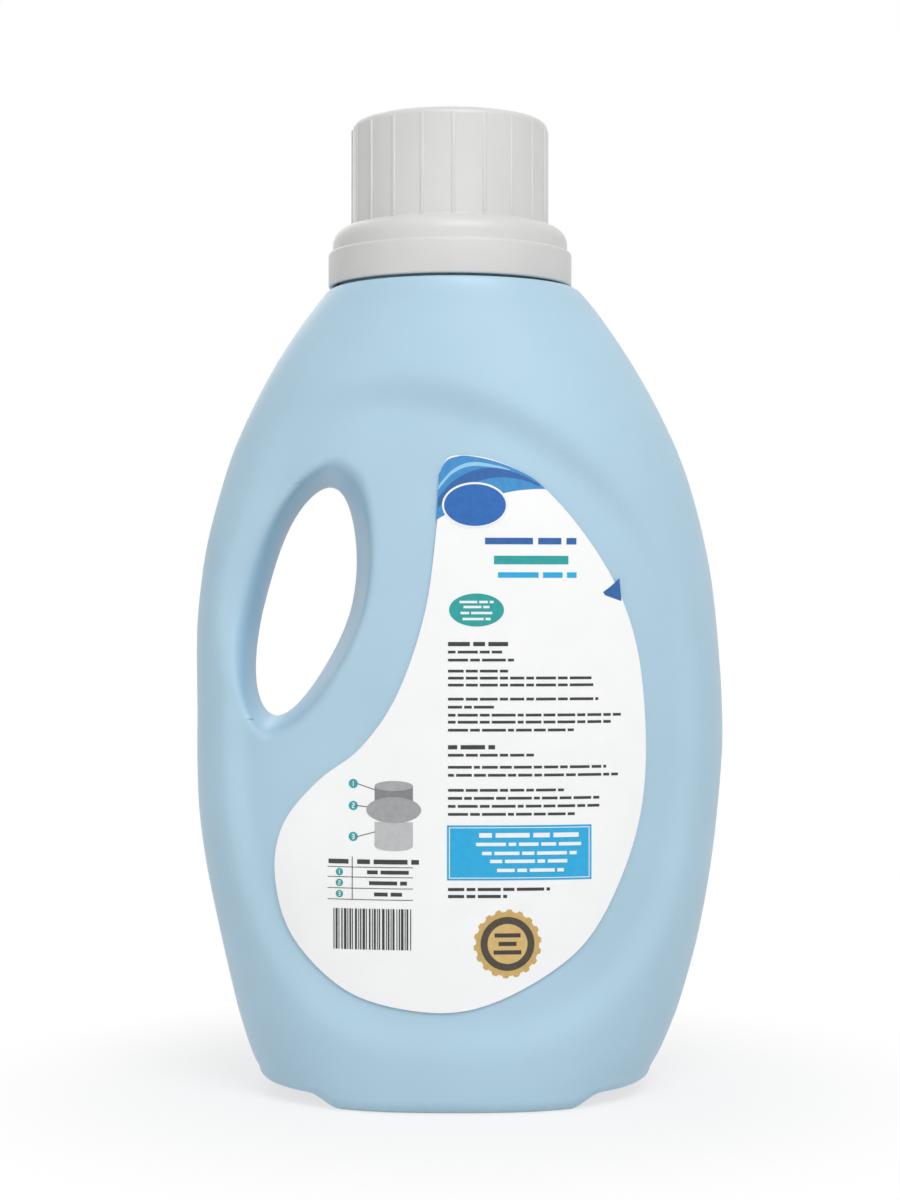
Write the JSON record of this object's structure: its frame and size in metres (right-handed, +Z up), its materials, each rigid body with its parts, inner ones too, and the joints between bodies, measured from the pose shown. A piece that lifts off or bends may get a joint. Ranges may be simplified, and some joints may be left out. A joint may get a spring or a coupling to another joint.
{
  "type": "fabric softener bottle",
  "caption": "Blow-moulded bottle with a moulded-in handle, pouring insert, screw-on measuring cap and two shaped labels.",
  "frame": {"origin": "on the floor, in the middle of the body's width and depth", "axes": "+Z up along the neck, +X away from the handle, the pictured face towards -Y"},
  "size_m": [0.157, 0.0894, 0.2878],
  "materials": {
    "body_hdpe": "satin blow-moulded polyethylene, light blue",
    "cap_pp": "satin injection-moulded polypropylene, light grey",
    "insert_pe": "natural milky polyethylene",
    "label_film": "printed white polypropylene film"
  },
  "bodies": {
    "bottle": {"bottle_body": "body_hdpe", "pour_spout": "insert_pe", "back_label": "label_film", "front_label": "label_film"},
    "cap": {"measuring_cap": "cap_pp"}
  },
  "joints": [
    {"name": "cap_lift", "type": "slide", "parent": "bottle", "child": "cap", "axis": [0, 0, 1], "range_m": [0, 0.06]}
  ]
}
